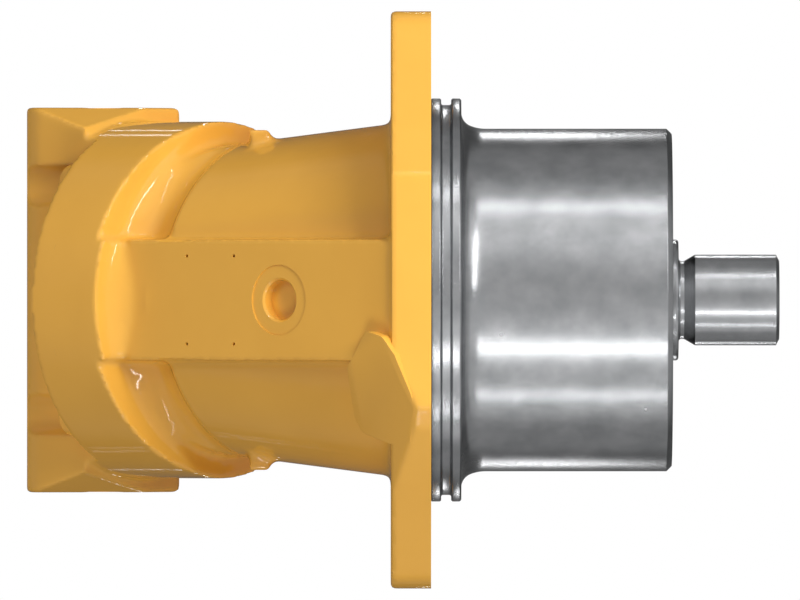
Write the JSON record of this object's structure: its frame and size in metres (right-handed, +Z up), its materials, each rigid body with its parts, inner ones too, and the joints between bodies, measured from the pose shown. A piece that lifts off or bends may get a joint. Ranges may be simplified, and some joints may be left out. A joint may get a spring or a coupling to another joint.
{
  "type": "axial piston motor",
  "caption": "Bent-axis axial piston motor for plug-in mounting: yellow-enamelled cast housing with a bolted flange, long machined bearing barrel, plain drive shaft and angled port plate.",
  "frame": {"origin": "centre of the mounting flange's face, on the drive shaft's axis", "axes": "+X along the drive shaft towards its free end, +Z up along the line of the two flange holes, the cylinder block's axis in the XY plane, swung 40 degrees towards +Y behind the flange"},
  "size_m": [0.3747, 0.274, 0.286],
  "materials": {
    "yellow_enamel": "gloss",
    "black_oxide_steel": "satin",
    "nitrile_rubber": "matte",
    "ground_steel": "satin",
    "bearing_steel": "polished",
    "pressed_sheet_steel": "satin",
    "bronze": "satin",
    "hardened_block_steel": "satin",
    "spring_steel": "satin"
  },
  "bodies": {
    "housing": {"housing": "yellow_enamel", "front_cover": "black_oxide_steel", "cover_seal": "nitrile_rubber", "snap_ring": "black_oxide_steel", "shaft_seal": "nitrile_rubber", "bearing_shim": "ground_steel", "rear_bearing_cup": "bearing_steel", "front_bearing_cup": "bearing_steel", "port_plate": "yellow_enamel", "port_plate_seal": "nitrile_rubber", "port_plate_screws": "yellow_enamel", "control_plate": "bronze", "control_plate_pin": "ground_steel", "rear_plug": "yellow_enamel", "drain_plug": "yellow_enamel"},
    "shaft": {"drive_shaft": "ground_steel", "retaining_plate": "black_oxide_steel", "retaining_screws": "black_oxide_steel", "rear_bearing_cone": "bearing_steel", "front_bearing_cone": "bearing_steel", "bearing_spacer": "ground_steel", "shaft_ring": "black_oxide_steel"},
    "rear_cage": {"rear_bearing_cage": "pressed_sheet_steel", "rear_bearing_rollers": "bearing_steel"},
    "front_cage": {"front_bearing_cage": "pressed_sheet_steel", "front_bearing_rollers": "bearing_steel"},
    "block": {"cylinder_block": "hardened_block_steel", "centre_pin": "ground_steel", "centre_spring": "spring_steel", "spring_seat": "ground_steel"},
    "ball_1": {"piston_ball_1": "bearing_steel"},
    "piston_1": {"piston_1": "ground_steel", "piston_ring_1": "spring_steel"},
    "ball_2": {"piston_ball_2": "bearing_steel"},
    "piston_2": {"piston_2": "ground_steel", "piston_ring_2": "spring_steel"},
    "ball_3": {"piston_ball_3": "bearing_steel"},
    "piston_3": {"piston_3": "ground_steel", "piston_ring_3": "spring_steel"},
    "ball_4": {"piston_ball_4": "bearing_steel"},
    "piston_4": {"piston_4": "ground_steel", "piston_ring_4": "spring_steel"},
    "ball_5": {"piston_ball_5": "bearing_steel"},
    "piston_5": {"piston_5": "ground_steel", "piston_ring_5": "spring_steel"},
    "ball_6": {"piston_ball_6": "bearing_steel"},
    "piston_6": {"piston_6": "ground_steel", "piston_ring_6": "spring_steel"},
    "ball_7": {"piston_ball_7": "bearing_steel"},
    "piston_7": {"piston_7": "ground_steel", "piston_ring_7": "spring_steel"}
  },
  "joints": [
    {"name": "shaft_spin", "type": "hinge", "parent": "housing", "child": "shaft", "pos_m": [0, 0, 0], "axis": [1, 0, 0], "continuous": true},
    {"name": "block_spin", "type": "hinge", "parent": "housing", "child": "block", "pos_m": [-0.025, 0, 0], "axis": [0.766, -0.6428, 0], "continuous": true},
    {"name": "rear_cage_spin", "type": "hinge", "parent": "housing", "child": "rear_cage", "pos_m": [0.02, 0, 0], "axis": [1, 0, 0], "continuous": true},
    {"name": "front_cage_spin", "type": "hinge", "parent": "housing", "child": "front_cage", "pos_m": [0.08, 0, 0], "axis": [1, 0, 0], "continuous": true},
    {"name": "ball_turn_1", "type": "hinge", "parent": "shaft", "child": "ball_1", "pos_m": [-0.025, 0.034, 0], "axis": [1, 0, 0], "continuous": true},
    {"name": "piston_turn_1", "type": "hinge", "parent": "ball_1", "child": "piston_1", "pos_m": [-0.025, 0.034, 0], "axis": [0.766, -0.6428, 0], "continuous": true},
    {"name": "ball_turn_2", "type": "hinge", "parent": "shaft", "child": "ball_2", "pos_m": [-0.025, 0.0212, 0.02658], "axis": [1, 0, 0], "continuous": true},
    {"name": "piston_turn_2", "type": "hinge", "parent": "ball_2", "child": "piston_2", "pos_m": [-0.025, 0.0212, 0.02658], "axis": [0.766, -0.6428, 0], "continuous": true},
    {"name": "ball_turn_3", "type": "hinge", "parent": "shaft", "child": "ball_3", "pos_m": [-0.025, -0.00757, 0.03315], "axis": [1, 0, 0], "continuous": true},
    {"name": "piston_turn_3", "type": "hinge", "parent": "ball_3", "child": "piston_3", "pos_m": [-0.025, -0.00757, 0.03315], "axis": [0.766, -0.6428, 0], "continuous": true},
    {"name": "ball_turn_4", "type": "hinge", "parent": "shaft", "child": "ball_4", "pos_m": [-0.025, -0.03063, 0.01475], "axis": [1, 0, 0], "continuous": true},
    {"name": "piston_turn_4", "type": "hinge", "parent": "ball_4", "child": "piston_4", "pos_m": [-0.025, -0.03063, 0.01475], "axis": [0.766, -0.6428, 0], "continuous": true},
    {"name": "ball_turn_5", "type": "hinge", "parent": "shaft", "child": "ball_5", "pos_m": [-0.025, -0.03063, -0.01475], "axis": [1, 0, 0], "continuous": true},
    {"name": "piston_turn_5", "type": "hinge", "parent": "ball_5", "child": "piston_5", "pos_m": [-0.025, -0.03063, -0.01475], "axis": [0.766, -0.6428, 0], "continuous": true},
    {"name": "ball_turn_6", "type": "hinge", "parent": "shaft", "child": "ball_6", "pos_m": [-0.025, -0.00757, -0.03315], "axis": [1, 0, 0], "continuous": true},
    {"name": "piston_turn_6", "type": "hinge", "parent": "ball_6", "child": "piston_6", "pos_m": [-0.025, -0.00757, -0.03315], "axis": [0.766, -0.6428, 0], "continuous": true},
    {"name": "ball_turn_7", "type": "hinge", "parent": "shaft", "child": "ball_7", "pos_m": [-0.025, 0.0212, -0.02658], "axis": [1, 0, 0], "continuous": true},
    {"name": "piston_turn_7", "type": "hinge", "parent": "ball_7", "child": "piston_7", "pos_m": [-0.025, 0.0212, -0.02658], "axis": [0.766, -0.6428, 0], "continuous": true}
  ],
  "couplings": [
    {"joint": "block_spin", "follows": "shaft_spin", "ratio": 1},
    {"joint": "rear_cage_spin", "follows": "shaft_spin", "ratio": 0.425},
    {"joint": "front_cage_spin", "follows": "shaft_spin", "ratio": 0.425},
    {"joint": "ball_turn_1", "follows": "shaft_spin", "ratio": -1},
    {"joint": "piston_turn_1", "follows": "shaft_spin", "ratio": -1},
    {"joint": "ball_turn_2", "follows": "shaft_spin", "ratio": -1},
    {"joint": "piston_turn_2", "follows": "shaft_spin", "ratio": -1},
    {"joint": "ball_turn_3", "follows": "shaft_spin", "ratio": -1},
    {"joint": "piston_turn_3", "follows": "shaft_spin", "ratio": -1},
    {"joint": "ball_turn_4", "follows": "shaft_spin", "ratio": -1},
    {"joint": "piston_turn_4", "follows": "shaft_spin", "ratio": -1},
    {"joint": "ball_turn_5", "follows": "shaft_spin", "ratio": -1},
    {"joint": "piston_turn_5", "follows": "shaft_spin", "ratio": -1},
    {"joint": "ball_turn_6", "follows": "shaft_spin", "ratio": -1},
    {"joint": "piston_turn_6", "follows": "shaft_spin", "ratio": -1},
    {"joint": "ball_turn_7", "follows": "shaft_spin", "ratio": -1},
    {"joint": "piston_turn_7", "follows": "shaft_spin", "ratio": -1}
  ]
}
